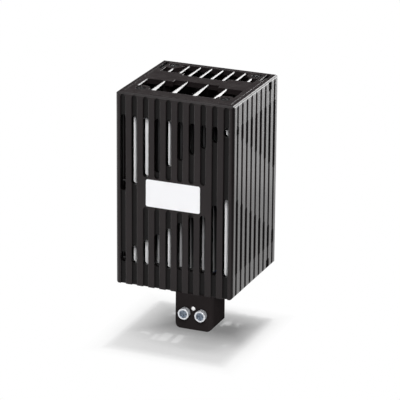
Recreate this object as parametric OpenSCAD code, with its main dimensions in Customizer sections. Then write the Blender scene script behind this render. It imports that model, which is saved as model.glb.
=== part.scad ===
// Enclosure heater: a touch-safe heater that clips on a 35 mm mounting rail.
// The origin is the middle of the rail seat, +Z is up and the front faces -Y.
// Pieces are drawn in the housing's own frame: X across, Y back from the front
// ribs, Z up from the lower edge of the walls. at_housing() places that frame.

/* [Housing] */
// Width over the ribs of the side walls
body_w = 70; // [67:0.5:77]
// Depth from the front ribs to the rear face
body_d = 65.7; // [64:0.1:74]
// Height of the walls
body_h = 111.8; // [106:0.1:126]
// Thickness of the wall between the ribs
skin_t = 2.3; // [1.8:0.1:2.6]
// Height of the ribs on the front and side walls
rib_h = 0.9; // [0.7:0.1:1.4]
// Height of the ribs on the rear panel
rear_rib_h = 0.9; // [0.7:0.1:1.4]
// Rounding of the upright corners
corner_r = 1.8; // [1:0.1:2]
// Chamfer along the top edge
top_chamfer = 1; // [0.5:0.1:1.4]
// Rounding along the lower edge of the side walls
bottom_r = 1.8; // [1:0.1:2.4]
// Clearance between pieces that slide into each other
fit_gap = 0.15; // [0.1:0.05:0.25]

/* [Grille walls] */
// Distance from one groove to the next
groove_pitch = 6.8; // [6.5:0.1:7]
// Width of a groove between two ribs
groove_w = 2.8; // [2.4:0.1:3.2]
// Width of the grooves on the side walls
side_groove_w = 1.7; // [1.5:0.1:2.8]
// Rounding of the rib edges
rib_edge = 0.5; // [0.2:0.1:0.6]
// Closed rim above the grooves
rim_h = 0.9; // [0.6:0.1:1.6]
// Width of an air slot
slot_w = 3.4; // [3:0.1:3.8]
// Distance from the ends of the walls to the slots
slot_margin = 12.8; // [12:0.1:18]
// Distance from the top edge to the slots of the rear panel
rear_slot_top = 24; // [22:0.5:28]
// Height of the chevron's peak, at the front right and rear left corners
chevron_peak = 60.9; // [54:0.1:66]
// Fall of the chevron for each millimetre along a wall
chevron_slope = 0.64; // [0.5:0.01:0.68]
// Height of the closed band between the lower and the upper slots
band_h = 36; // [30:0.5:40]

/* [Covers] */
// Thickness of the top and bottom covers
cover_t = 3; // [2.4:0.1:3.6]
// Distance from the side walls to the cover screws
screw_inset = 6.8; // [6.4:0.1:7.4]
// Distance from the front ribs to the front cover screws
screw_front_y = 11.5; // [10.5:0.1:13]
// Distance from the rear face to the rear cover screws
screw_rear_y = 7.7; // [7.2:0.1:9]
// Radius of the boss round a cover screw
boss_r = 5.2; // [4.4:0.1:5.6]
// Length of the screw posts in the housing
post_len = 7.5; // [6:0.1:8.5]
// Radius of the screw posts
post_r = 3; // [2.6:0.1:3.1]
// Distance from the side walls to the front air opening
opening_border = 2.8; // [2.4:0.1:3.6]
// Distance from the side walls to the rear air opening
rear_opening_border = 3.8; // [3.4:0.1:4.6]
// Distance from the front ribs to the front opening
opening_front_y = 10.3; // [9:0.1:12]
// Distance from the front ribs to the middle of the cross bar
bar_y = 37.5; // [36:0.1:39]
// Width of the cross bar in its middle
bar_mid_w = 9.6; // [8:0.1:12]
// Width of the cross bar at its ends
bar_end_w = 16.2; // [14:0.1:18]
// Half length of the narrow middle of the cross bar
bar_mid_x = 13.5; // [12:0.1:16]
// Width of the strip behind the rear opening
rear_strip = 1.4; // [1.2:0.1:2]
// Width of the flat ridge along a grille bar
bar_ridge = 0.4; // [0.3:0.1:0.8]
// Height of a rear grille bar at the cross bar
rear_bar_h = 0.8; // [0.6:0.1:1.2]
// Height of a rear grille bar at its rear end
rear_bar_end_h = 0.6; // [0.5:0.1:1]
// Distance from one front grille bar to the next
front_bar_pitch = 12.3; // [11:0.1:13]
// Height of a front grille bar at its front end
gusset_front_h = 1.5; // [1:0.1:2]
// Height of a front grille bar at the cross bar
gusset_rear_h = 0.4; // [0.3:0.1:1]

/* [Snap arms] */
// Thickness of a snap arm
arm_t = 1.6; // [1.4:0.1:1.8]
// Height of a snap arm
arm_h = 4.4; // [3.6:0.1:5]
// Distance from the end of the walls to a snap arm
arm_margin = 1.2; // [1:0.1:2]
// Width of a latch window
window_w = 4.4; // [3.6:0.1:4.8]

/* [Rating plate] */
// Width of the rating plate
plate_w = 32.2; // [28:0.1:34]
// Height of the rating plate
plate_h = 15.7; // [12:0.1:18]
// Thickness of the rating plate
plate_t = 0.25; // [0.2:0.05:0.5]
// Rounding of the plate's corners
plate_r = 1; // [0.5:0.1:2]
// Place of the plate's middle, across
plate_x = -0.6; // [-1:0.1:1]
// Place of the plate's middle above the lower edge of the walls
plate_z = 55.8; // [50:0.1:60]
// Border of the flat pad above and below the plate
pad_border = 0.8; // [0.4:0.1:1.5]

/* [Terminal block] */
// Width of the block
block_w = 23; // [22:0.1:25]
// Depth of the block
block_d = 20; // [19:0.1:22]
// Height of the block under the walls
block_h = 21; // [20:0.1:24]
// Distance from the right wall to the block's middle
block_inset = 19.8; // [19.8:0.1:23.8]
// Rounding of the upright edges
block_r = 2.5; // [1:0.1:3]
// Rounding of the lower corners
block_bottom_r = 3.8; // [1:0.1:3.8]
// Distance between the two poles
pole_pitch = 10; // [9.6:0.1:10.2]
// Height of the terminal screws under the walls
pole_depth = 11.5; // [11:0.1:12.5]
// Thickness of the block's front wall
block_front_t = 6.2; // [6:0.1:6.6]
// Thickness of the block's floor
block_floor_t = 4; // [3:0.1:5]
// Radius of a wire entry
wire_r = 1.8; // [1.5:0.1:1.9]
// Width of a clamp
clamp_w = 5.8; // [5.4:0.1:6]
// Depth of a clamp
clamp_d = 8.2; // [7.6:0.1:8.4]
// Height of a clamp
clamp_h = 10; // [9:0.1:10.4]
// Radius of a terminal screw's head
head_r = 3.2; // [2.8:0.1:3.3]
// Height of a terminal screw's head
head_h = 3; // [2.6:0.1:3.4]
// How far a terminal screw stands out of the block
head_out = 2.7; // [2:0.1:3]
// Radius of a terminal screw's thread
thread_r = 1.9; // [1.5:0.1:2]
// Radius of the indicator lens
lens_r = 1.15; // [0.9:0.05:1.3]
// Height of the indicator lens under the walls
lens_depth = 8.4; // [8:0.1:8.8]

/* [Heat sink] */
// Distance from the lower edge of the walls to the heat sink
sink_z = 11.2; // [11:0.1:13]
// Distance from the top edge of the walls to the heat sink
sink_top = 15.2; // [14.5:0.1:18]
// Gap between the heat sink and the side walls
sink_gap = 2.9; // [2.4:0.1:3.4]
// Thickness of the profile's core
core_t = 13; // [12:0.1:14]
// Distance from the side walls to the profile's core
core_inset = 10.3; // [9:0.1:11.5]
// Thickness of the side arms
side_arm_t = 4; // [3:0.1:6]
// Distance from the front ribs to the front fin tips
fin_front_y = 6; // [5.5:0.1:8]
// Distance from the rear face to the rear fin tips
fin_rear_y = 16; // [12:0.1:17]
// Length that the short fins stay behind the long ones
fin_setback = 4; // [2:0.5:8]
// Radius of the pillars that hold the heat sink
pillar_r = 3; // [2.4:0.1:3.4]

/* [Heating pack] */
// Thickness of the core's walls beside the chamber for the heating pack
chamber_wall = 4; // [3:0.1:5]
// Thickness of a heating stone
stone_t = 2.4; // [2:0.1:3]
// Height of a heating stone
stone_h = 18; // [15:0.5:19]
// Number of heating stones
stone_n = 4; // [2:1:4]
// Thickness of an electrode
electrode_t = 0.5; // [0.4:0.1:0.8]
// Thickness of the insulation film
film_t = 0.3; // [0.2:0.05:0.4]
// Thickness of the pressure plate
press_t = 3; // [2.6:0.1:3.4]
// Length of the film past the heat sink
film_out = 2; // [1:0.1:2.4]
// Length of an electrode tab past the film
tab_out = 1; // [0.8:0.1:1.4]
// Width of an electrode tab
tab_w = 4; // [3:0.1:5]
// Radius of a lead
lead_r = 0.9; // [0.7:0.05:1]

/* [Rail clip] */
// Width of the mounting rail
rail_w = 35; // [34.5:0.1:35.5]
// Thickness of the rail's edges
rail_t = 1; // [1:0.1:1.5]
// Height of the rail's middle above the lower edge of the walls
rail_z = 55.9; // [50:0.1:62]
// Thickness of the clip's sheet
clip_t = 1.2; // [0.8:0.1:1.5]
// Width of the clip
clip_w = 26; // [22:0.5:28]
// Clearance round the rail's edges
rail_gap = 0.2; // [0.1:0.05:0.4]
// Reach of a hook behind the rail's edge
hook_reach = 2.4; // [1.8:0.1:3]
// Distance from the middle to the clip screws, across
clip_screw_x = 7; // [6:0.1:9]

/* [Hidden] */
$fn = 48;
// Overrun of a cut past the face that it opens
over = 1;

plastic = [0.05, 0.05, 0.055];
block_plastic = [0.035, 0.035, 0.04];
bare_metal = [0.78, 0.79, 0.8];
bright_steel = [0.7, 0.71, 0.72];
brass = [0.78, 0.64, 0.32];

// The housing frame in the part's frame
front_y = -clip_t - body_d;
bottom_z = -rail_z;

// Walls and the room between them
wall_t = skin_t + rib_h;
rear_t = skin_t + rear_rib_h;
in_x = body_w / 2 - wall_t;
in_front = wall_t;
in_rear = body_d - rear_t;

// Grooves: as many as fit between the corners
corner_min = 4.2;
front_n = floor((body_w - 2 * corner_min) / groove_pitch) + 1;
side_n = floor((body_d - 2 * corner_min) / groove_pitch) + 1;
rear_n = floor((2 * in_x - 2 * corner_min) / groove_pitch) + 1;
function row(n, middle) = [for (i = [0 : n - 1]) middle + (i - (n - 1) / 2) * groove_pitch];
front_grooves = row(front_n, 0);
side_grooves = row(side_n, body_d / 2);
rear_grooves = row(rear_n, 0);
front_slopes = [for (x = front_grooves) body_w / 2 - x];
rear_slopes = [for (x = rear_grooves) body_w / 2 - x];

// Flat pads: [half width, lower end, upper end]
label_pad = [plate_w / 2 + abs(plate_x) + pad_border, plate_z - plate_h / 2 - pad_border,
             plate_z + plate_h / 2 + pad_border];
clip_pad_border = 2;
clip_half_h = rail_w / 2 + rail_gap + clip_t;
clip_pad = [clip_w / 2 + clip_pad_border, rail_z - clip_half_h - clip_pad_border,
            rail_z + clip_half_h + clip_pad_border];
no_pad = [0, 0, 0];
pad_clear = 0.3;

// Snap arms and their windows, in the last groove but one of the side walls
arm_gap = 0.25;
window_y = side_grooves[side_n - 2];
arm_x = in_x - arm_gap - arm_t;
arm_nose = 0.6;
arm_front = window_y - window_w / 2 - arm_nose;
window_play = 0.2;
window_end_play = 0.3;
tooth_w = window_w - 2 * window_play;
tooth_out = skin_t / 2;
window_h = arm_h + 2 * window_end_play;
arm_levels = [arm_margin, body_h - arm_margin - arm_h];

// Screws and their holes
screw_x = in_x - screw_inset;
screw_rear = body_d - screw_rear_y;
screw_places = [for (x = [-screw_x, screw_x], y = [screw_front_y, screw_rear]) [x, y]];
screw_head_r = 2.7;
screw_head_h = 1.6;
screw_sunk = 0.2;
screw_r = 1.2;
screw_play = 0.3;
thread_gap = 0.05;
// Free end of a pilot hole past the screw's tip
screw_end = 1;
cross_len = 3;
cross_w = 0.7;
cross_depth = 0.9;
web_t = 2.4;

// Covers
cover_x = in_x - fit_gap;
cover_front = in_front + fit_gap;
cover_rear = in_rear - fit_gap;
top_cover_z = body_h - cover_t;
notch_gap = 0.4;
opening_x = in_x - opening_border;
rear_opening_x = in_x - rear_opening_border;
rear_opening_end = cover_rear - rear_strip;
rear_bar_n = 2 * floor(rear_opening_x / groove_pitch);
front_bar_n = 2 * floor(opening_x / front_bar_pitch);
bar_bite = 0.5;

// Terminal block
neck_wall = 1;
neck_front_wall = 1.2;
pocket_gap = 0.1;
neck_w = pole_pitch + clamp_w + 2 * (pocket_gap + neck_wall);
pocket_d = clamp_d + 4 * pocket_gap;
neck_front = block_front_t - neck_front_wall;
neck_rear = block_front_t + pocket_d + neck_front_wall;
barb_out = 0.6;
barb_h = 1.4;
barb_d = 6;
neck_end = 0.2;
neck_h = cover_t + barb_h + neck_end;
block_x = in_x - block_inset;
pole_x = [block_x - pole_pitch / 2, block_x + pole_pitch / 2];
clamp_y = block_front_t + 2 * pocket_gap;
clamp_z = -block_h + block_floor_t;
clamp_top = clamp_z + clamp_h;
wire_play = 0.2;
clamp_wire_r = wire_r + wire_play;
clamp_rear_wall = 1.3;
wire_y = clamp_y + clamp_d - clamp_rear_wall - clamp_wire_r;
clamp_roof = 1.5;
wire_top = clamp_top - clamp_roof;
funnel_h = 0.8;
head_play = 0.2;
sink_r = head_r + head_play;
sink_depth = 1.8;
tip_gap = 0.3;
screw_tip = wire_y - clamp_wire_r - tip_gap;
head_rim = 0.9;
head_recess = 0.9;
head_slot_inset = 0.2;
head_slot_len = 2 * (head_r - head_rim - head_slot_inset);
head_cross_len = 2.9;
head_slot_w = 0.9;
head_slot_depth = 1.5;
lamp_r = 1.1;
lamp_len = 5.6;
lamp_leg_r = 0.3;
lamp_leg_setback = 1;
lens_gap = 0.05;
lens_out = 0.3;
web_top = -lens_depth - lamp_r - lens_gap;

// Heat sink: [place, thickness, short or long] of each fin on one side
sink_len = body_h - sink_z - sink_top;
core_x = in_x - core_inset;
core_front = bar_y - core_t / 2;
outer_fin_t = 3.2;
fins = [[0, 1.2, true], [5.6, 0.9, false], [13.4, 1.2, true], [18.8, 2, false],
        [in_x - sink_gap - outer_fin_t / 2, outer_fin_t, false]];
pillar_x = core_x;

// Heating pack, stacked from the front face of the chamber to its rear face
pack_t = 2 * film_t + 2 * electrode_t + stone_t;
chamber_x = core_x - chamber_wall;
chamber_d = pack_t + press_t;
chamber_front = bar_y - chamber_d / 2;
film_x = chamber_x - fit_gap;
electrode_x = film_x - film_t - fit_gap;
stone_edge = 0.5;
stone_x = electrode_x - stone_edge;
front_electrode_y = chamber_front + film_t;
stone_y = front_electrode_y + electrode_t;
rear_electrode_y = stone_y + stone_t;
stone_pitch = sink_len / stone_n;
tab_end = sink_z - film_out - tab_out;
tab_shift = 1.5;
tab_x = [pole_x[0], min(pole_x[1] - tab_shift, electrode_x - tab_w / 2)];
lead_rise = 1;
lead_z = (cover_t + tab_end) / 2 + lead_rise;
lead_edge = 0.8;
lead_y = clamp_y + clamp_d - lead_edge - lead_r;

// Rail clip
hook_play = 0.3;
hook_y = rail_t + hook_play;
clip_screw_z = 4;
clip_screw_len = 6;
clip_boss_r = 3;
clip_boss_len = 4;
clip_head_r = 2.6;
clip_head_h = 1.8;
clip_screw_r = 1.4;

// Places its children, drawn in the housing's frame, in the part's frame
module at_housing() {
  translate([0, front_y, bottom_z]) children();
}

// Half a turn about the upright middle axis of the housing
module half_turn() {
  translate([0, body_d, 0]) rotate([0, 0, 180]) children();
}

// Turns a front wall cut into one of the right wall
module on_right() {
  translate([body_w / 2, 0, 0]) rotate([0, 0, 90]) children();
}

// Extrudes an X-Z outline from depth y0 to depth y1
module deep(y0, y1) {
  translate([0, y1, 0]) rotate([90, 0, 0]) linear_extrude(y1 - y0) children();
}

// Extrudes a Y-Z outline from x0 to x1
module wide(x0, x1) {
  translate([x0, 0, 0]) rotate([90, 0, 90]) linear_extrude(x1 - x0) children();
}

// Outline with round ends, from z0 to z1
module round_slot(w, z0, z1) {
  translate([-w / 2, z0 + w / 2]) square([w, z1 - z0 - w]);
  translate([0, z0 + w / 2]) circle(d = w);
  translate([0, z1 - w / 2]) circle(d = w);
}

// Rectangle with rounded corners, from a lower to an upper corner
module round_rect(low, high, r) {
  translate([low[0] + r, low[1]]) square([high[0] - low[0] - 2 * r, high[1] - low[1]]);
  translate([low[0], low[1] + r]) square([high[0] - low[0], high[1] - low[1] - 2 * r]);
  for (x = [low[0] + r, high[0] - r], y = [low[1] + r, high[1] - r]) translate([x, y]) circle(r);
}

// Outer form of the housing: chamfered above, rounded along the lower sides
module envelope() {
  half = body_w / 2;
  intersection() {
    linear_extrude(body_h) round_rect([-half, 0], [half, body_d], corner_r);
    deep(-over, body_d + over) {
      polygon([[-half, bottom_r], [half, bottom_r], [half, body_h - top_chamfer],
               [half - top_chamfer, body_h], [-half + top_chamfer, body_h], [-half, body_h - top_chamfer]]);
      translate([-half + bottom_r, 0]) square([body_w - 2 * bottom_r, bottom_r + over]);
      for (x = [-half + bottom_r, half - bottom_r]) translate([x, bottom_r]) circle(bottom_r);
    }
    wide(-half - over, half + over)
      polygon([[0, 0], [body_d, 0], [body_d, body_h - top_chamfer], [body_d - top_chamfer, body_h],
               [top_chamfer, body_h], [0, body_h - top_chamfer]]);
  }
}

// One groove with rounded rib edges, cut into the face at y = 0
module groove(width, z0, z1, depth) {
  edge_x = width / 2 + rib_edge;
  deep(-over, depth) round_slot(width, z0, z1);
  translate([0, 0, z0 + width / 2]) linear_extrude(z1 - z0 - width) difference() {
    translate([-edge_x, -over]) square([2 * edge_x, over + rib_edge]);
    for (side = [-1, 1]) translate([side * edge_x, rib_edge]) circle(rib_edge);
  }
}

// Grooves and chevron slots of one wall. slopes holds each groove's distance from the peak.
// The grooves run out at the lower edge
module wall_cuts(places, slopes, width, depth, pad, slot_top) {
  for (i = [0 : len(places) - 1]) {
    padded = abs(places[i]) - width / 2 < pad[0];
    low = chevron_peak - chevron_slope * slopes[i];
    low_end = padded ? min(low, pad[1] - pad_clear) : low;
    high = padded ? max(low + band_h, pad[2] + pad_clear) : low + band_h;
    runs = padded ? [[-width, pad[1]], [pad[2], body_h - rim_h]] : [[-width, body_h - rim_h]];
    slots = [[slot_margin, low_end], [high, body_h - slot_top]];
    translate([places[i], 0, 0]) {
      for (run = runs) groove(width, run[0], run[1], depth);
      for (s = slots) if (s[1] - s[0] > slot_w) deep(-over, wall_t + over) round_slot(slot_w, s[0], s[1]);
    }
  }
}

// Post for a cover screw, with a web to the wall behind it
module screw_post(x, y, z, web_y) {
  translate([x, y, z]) cylinder(r = post_r, h = post_len);
  translate([x - web_t / 2, min(y, web_y), z]) cube([web_t, abs(web_y - y), post_len]);
}

// Pilot holes of the cover screws, for the places in the given row
module pilot_holes(y) {
  for (x = [-screw_x, screw_x], z = [cover_t, top_cover_z - post_len])
    translate([x, y, z - over]) cylinder(r = screw_r + thread_gap, h = post_len + 2 * over);
}

module front_shell() color(plastic) at_housing() difference() {
  union() {
    difference() {
      envelope();
      translate([-in_x, in_front, -over]) cube([2 * in_x, body_d, body_h + 2 * over]);
      wall_cuts(front_grooves, front_slopes, groove_w, rib_h, label_pad, slot_margin);
      on_right() wall_cuts(side_grooves, side_grooves, side_groove_w, rib_h, no_pad, slot_margin);
      half_turn() on_right() wall_cuts(side_grooves, side_grooves, side_groove_w, rib_h, no_pad, slot_margin);
    }
    for (x = [-screw_x, screw_x], z = [cover_t, top_cover_z - post_len])
      screw_post(x, screw_front_y, z, in_front - skin_t / 2);
  }
  pilot_holes(screw_front_y);
  for (side = [-1, 1], z = arm_levels)
    translate([side * (in_x + skin_t / 2) - wall_t, window_y - window_w / 2, z - window_end_play])
      cube([2 * wall_t, window_w, window_h]);
}

// Snap arm on the right: a thin tongue with a tooth that fills the latch window
module snap_arm(z) {
  translate([arm_x, arm_front, z]) cube([arm_t, in_rear - arm_front + skin_t / 2, arm_h]);
  translate([0, 0, z]) linear_extrude(arm_h)
    polygon([[arm_x + arm_t / 2, window_y - tooth_w / 2], [arm_x + arm_t, window_y - tooth_w / 2],
             [in_x + tooth_out, window_y + tooth_w / 4], [in_x + tooth_out, window_y + tooth_w / 2],
             [arm_x + arm_t / 2, window_y + tooth_w / 2]]);
}

module rear_panel() color(plastic) at_housing() difference() {
  union() {
    difference() {
      intersection() {
        envelope();
        translate([-in_x + fit_gap, in_rear, 0]) cube([2 * (in_x - fit_gap), rear_t, body_h]);
      }
      half_turn() wall_cuts(rear_grooves, rear_slopes, groove_w, rear_rib_h, clip_pad, rear_slot_top);
    }
    for (x = [-screw_x, screw_x], z = [cover_t, top_cover_z - post_len])
      screw_post(x, screw_rear, z, in_rear + skin_t / 2);
    for (z = arm_levels) {
      snap_arm(z);
      mirror([1, 0, 0]) snap_arm(z);
    }
    for (x = [-clip_screw_x, clip_screw_x])
      translate([x, in_rear - clip_boss_len, rail_z + clip_screw_z]) rotate([-90, 0, 0])
        cylinder(r = clip_boss_r, h = clip_boss_len + skin_t / 2);
  }
  pilot_holes(screw_rear);
  for (x = [-clip_screw_x, clip_screw_x])
    translate([x, body_d - clip_screw_len, rail_z + clip_screw_z]) rotate([-90, 0, 0])
      cylinder(r = clip_screw_r + thread_gap, h = clip_screw_len + over);
}

// Plan of a cover: fits between the walls, notched beside the snap arms
module cover_plan() {
  difference() {
    translate([-cover_x, cover_front]) square([2 * cover_x, cover_rear - cover_front]);
    for (side = [-1, 1])
      translate([side * (arm_x - notch_gap) - (side < 0 ? cover_x : 0), arm_front - notch_gap])
        square([cover_x, body_d]);
  }
}

// Air openings in front of and behind the cross bar, round the screw bosses
module opening_plan() {
  difference() {
    union() {
      translate([-opening_x, opening_front_y])
        square([2 * opening_x, bar_y - bar_end_w / 2 - opening_front_y]);
      translate([-bar_mid_x, opening_front_y])
        square([2 * bar_mid_x, bar_y - bar_mid_w / 2 - opening_front_y]);
      translate([-rear_opening_x, bar_y + bar_end_w / 2])
        square([2 * rear_opening_x, rear_opening_end - bar_y - bar_end_w / 2]);
      translate([-bar_mid_x, bar_y + bar_mid_w / 2])
        square([2 * bar_mid_x, rear_opening_end - bar_y - bar_mid_w / 2]);
    }
    for (p = screw_places) translate(p) circle(boss_r);
  }
}

// A roof-shaped bar at x with its ridge at z = 0, tapered from height h0 at y0 to h1 at y1
module roof_bar(x, y0, y1, h0, h1) {
  ridge = bar_ridge / 2;
  foot = ridge + h0;
  intersection() {
    translate([x, 0, 0]) deep(y0, y1) polygon([[-ridge, 0], [ridge, 0], [foot, -h0], [-foot, -h0]]);
    wide(x - foot - over, x + foot + over) polygon([[y0, 0], [y1, 0], [y1, -h1], [y0, -h0]]);
  }
}

// Grille bars of one cover, with their upper edges at z = 0
module grille_bars() {
  front_start = opening_front_y - bar_bite;
  front_end = bar_y - bar_mid_w / 2 + bar_bite;
  for (i = [0 : front_bar_n - 1])
    roof_bar((i - (front_bar_n - 1) / 2) * front_bar_pitch, front_start, front_end, gusset_front_h,
             gusset_rear_h);
  for (x = [-opening_x, opening_x])
    roof_bar(x, screw_front_y, bar_y - bar_end_w / 2 + bar_bite, rear_bar_h, gusset_rear_h);
  rear_start = bar_y + bar_mid_w / 2 - bar_bite;
  for (i = [0 : rear_bar_n - 1])
    roof_bar((i - (rear_bar_n - 1) / 2) * groove_pitch, rear_start, rear_opening_end + bar_bite, rear_bar_h,
             rear_bar_end_h);
}

// Holes and sunk seats of the cover screws in a plate whose outer face is at z = 0
module cover_screw_holes() {
  for (p = screw_places) translate([p[0], p[1], 0]) {
    translate([0, 0, -cover_t - over]) cylinder(r = screw_r + screw_play, h = cover_t + 2 * over);
    translate([0, 0, -screw_head_h - screw_sunk])
      cylinder(r = screw_head_r + screw_play, h = screw_head_h + screw_sunk + over);
  }
}

// Pillars that hold the heat sink off a cover
module pillars(z0, z1) {
  for (x = [-pillar_x, pillar_x]) translate([x, bar_y, z0]) cylinder(r = pillar_r, h = z1 - z0);
}

module top_cover() color(plastic) at_housing() {
  difference() {
    union() {
      translate([0, 0, top_cover_z]) linear_extrude(cover_t) difference() {
        cover_plan();
        opening_plan();
      }
      translate([0, 0, body_h]) grille_bars();
      pillars(body_h - sink_top, top_cover_z + cover_t / 2);
    }
    translate([0, 0, body_h]) cover_screw_holes();
  }
}

module bottom_cover() color(plastic) at_housing() {
  notch_w = neck_w + 2 * fit_gap;
  land = 2;
  difference() {
    union() {
      linear_extrude(cover_t) difference() {
        cover_plan();
        difference() {
          opening_plan();
          translate([block_x - notch_w / 2 - land, 0])
            square([notch_w + 2 * land, neck_rear + fit_gap + land]);
        }
      }
      mirror([0, 0, 1]) grille_bars();
      pillars(cover_t / 2, sink_z);
    }
    mirror([0, 0, 1]) cover_screw_holes();
    translate([block_x - notch_w / 2, 0, -over]) cube([notch_w, neck_rear + fit_gap, cover_t + 2 * over]);
  }
}

// Cross recess of a small screw, cut down from z = 0
module cross_recess() {
  for (turn = [0, 90])
    rotate([0, 0, turn]) translate([-cross_len / 2, -cross_w / 2, -cross_depth])
      cube([cross_len, cross_w, cross_depth + over]);
}

// A cover screw with its head's outer face at z = 0, pointing down
module cover_screw() {
  tip = cover_t + post_len - screw_end;
  difference() {
    union() {
      translate([0, 0, -screw_head_h]) cylinder(r = screw_head_r, h = screw_head_h);
      translate([0, 0, -tip]) cylinder(r = screw_r, h = tip - screw_head_h);
    }
    cross_recess();
  }
}

module top_cover_screws() color(bright_steel) at_housing()
  for (p = screw_places) translate([p[0], p[1], body_h - screw_sunk]) cover_screw();

module bottom_cover_screws() color(bright_steel) at_housing()
  for (p = screw_places) translate([p[0], p[1], screw_sunk]) mirror([0, 0, 1]) cover_screw();

module rating_plate() color("white") at_housing() deep(-plate_t, 0)
  translate([plate_x, plate_z])
    round_rect([-plate_w / 2, -plate_h / 2], [plate_w / 2, plate_h / 2], plate_r);

// Section of the extruded heat sink
module sink_section() {
  difference() {
    union() {
      translate([-core_x, core_front]) square([2 * core_x, core_t]);
      outer = fins[len(fins) - 1];
      reach = outer[0] + outer[1] / 2;
      translate([-reach, bar_y - side_arm_t / 2]) square([2 * reach, side_arm_t]);
      for (f = fins, side = [-1, 1]) {
        y0 = fin_front_y + (f[2] ? fin_setback : 0);
        y1 = body_d - fin_rear_y - (f[2] ? fin_setback / 2 : 0);
        translate([side * f[0] - f[1] / 2, y0]) square([f[1], y1 - y0]);
      }
    }
    translate([-chamber_x, chamber_front]) square([2 * chamber_x, chamber_d]);
  }
}

module heat_sink() color(bare_metal) at_housing()
  translate([0, 0, sink_z]) linear_extrude(sink_len) sink_section();

module ptc_stones() color([0.35, 0.34, 0.33]) at_housing()
  for (i = [0 : stone_n - 1])
    translate([-stone_x, stone_y, sink_z + (i + 0.5) * stone_pitch - stone_h / 2])
      cube([2 * stone_x, stone_t, stone_h]);

// A contact sheet as long as the film, with a tab for its lead at x
module electrode(y, x) {
  translate([-electrode_x, y, sink_z]) cube([2 * electrode_x, electrode_t, sink_len]);
  translate([x - tab_w / 2, y, tab_end]) cube([tab_w, electrode_t, sink_z - tab_end + over]);
}

module front_electrode() color(brass) at_housing() electrode(front_electrode_y, tab_x[0]);

module rear_electrode() color(brass) at_housing() electrode(rear_electrode_y, tab_x[1]);

module insulation_film() color([0.75, 0.45, 0.12]) at_housing()
  translate([0, chamber_front, sink_z - film_out]) difference() {
    translate([-film_x, 0, 0]) cube([2 * film_x, pack_t, sink_len + 2 * film_out]);
    translate([-film_x + film_t, film_t, -over])
      cube([2 * (film_x - film_t), pack_t - 2 * film_t, sink_len + 2 * (film_out + over)]);
  }

module pressure_plate() color(bare_metal) at_housing()
  translate([-film_x, chamber_front + pack_t, sink_z]) cube([2 * film_x, press_t, sink_len]);

// A lead from an electrode tab, forward over the bottom cover and down to its clamp
module lead(x, y) {
  translate([x, y, lead_z]) cylinder(r = lead_r, h = tab_end - lead_z);
  translate([x, y, lead_z]) sphere(lead_r);
  translate([x, lead_y, lead_z]) rotate([-90, 0, 0]) cylinder(r = lead_r, h = y - lead_y);
  translate([x, lead_y, lead_z]) sphere(lead_r);
  translate([x, lead_y, clamp_top]) cylinder(r = lead_r, h = lead_z - clamp_top);
}

module live_lead() color("saddlebrown") at_housing() lead(tab_x[0], front_electrode_y + electrode_t / 2);

module neutral_lead() color("royalblue") at_housing() lead(tab_x[1], rear_electrode_y + electrode_t / 2);

module terminal_block() color(block_plastic) at_housing() difference() {
  half = block_w / 2;
  union() {
    intersection() {
      translate([block_x, 0, -block_h]) linear_extrude(block_h)
        round_rect([-half, 0], [half, block_d], block_r);
      translate([block_x, 0, 0]) deep(-over, block_d + over) {
        translate([-half, -block_h + block_bottom_r]) square([block_w, block_h - block_bottom_r]);
        translate([-half + block_bottom_r, -block_h]) square([block_w - 2 * block_bottom_r, block_h]);
        for (x = [-half + block_bottom_r, half - block_bottom_r])
          translate([x, -block_h + block_bottom_r]) circle(block_bottom_r);
      }
    }
    translate([block_x - neck_w / 2, neck_front, -over])
      cube([neck_w, neck_rear - neck_front, neck_h + over]);
    neck_mid = (neck_front + neck_rear) / 2;
    translate([block_x, 0, 0]) deep(neck_mid - barb_d / 2, neck_mid + barb_d / 2)
      polygon([[-neck_w / 2, cover_t], [-neck_w / 2 - barb_out, cover_t], [-neck_w / 2, cover_t + barb_h],
               [neck_w / 2, cover_t + barb_h], [neck_w / 2 + barb_out, cover_t], [neck_w / 2, cover_t]]);
  }
  pocket_w = clamp_w + 2 * pocket_gap;
  for (x = pole_x) {
    translate([x - pocket_w / 2, block_front_t, clamp_z])
      cube([pocket_w, pocket_d, neck_h - clamp_z + over]);
    translate([x, -over, -pole_depth]) rotate([-90, 0, 0]) cylinder(r = sink_r, h = sink_depth + over);
    translate([x, 0, -pole_depth]) rotate([-90, 0, 0])
      cylinder(r = thread_r + screw_play, h = block_front_t + over);
    translate([x, wire_y, -block_h - over]) cylinder(r = wire_r, h = block_floor_t + 2 * over);
    translate([x, wire_y, -block_h]) cylinder(r1 = wire_r + funnel_h, r2 = wire_r, h = funnel_h);
  }
  translate([pole_x[0], block_front_t, web_top]) cube([pole_pitch, pocket_d, neck_h - web_top + over]);
  translate([block_x, -over, -lens_depth]) rotate([-90, 0, 0])
    cylinder(r = lens_r + lens_gap, h = block_front_t + 2 * over);
}

// A brass clamp: wire hole from below, screw hole from the front
module clamp_body(x) {
  difference() {
    translate([x - clamp_w / 2, clamp_y, clamp_z]) cube([clamp_w, clamp_d, clamp_h]);
    translate([x, wire_y, clamp_z - over]) cylinder(r = clamp_wire_r, h = wire_top - clamp_z + over);
    translate([x, clamp_y - over, -pole_depth]) rotate([-90, 0, 0])
      cylinder(r = thread_r + thread_gap, h = wire_y - clamp_y + over);
  }
}

module live_clamp() color(brass) at_housing() clamp_body(pole_x[0]);

module neutral_clamp() color(brass) at_housing() clamp_body(pole_x[1]);

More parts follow.
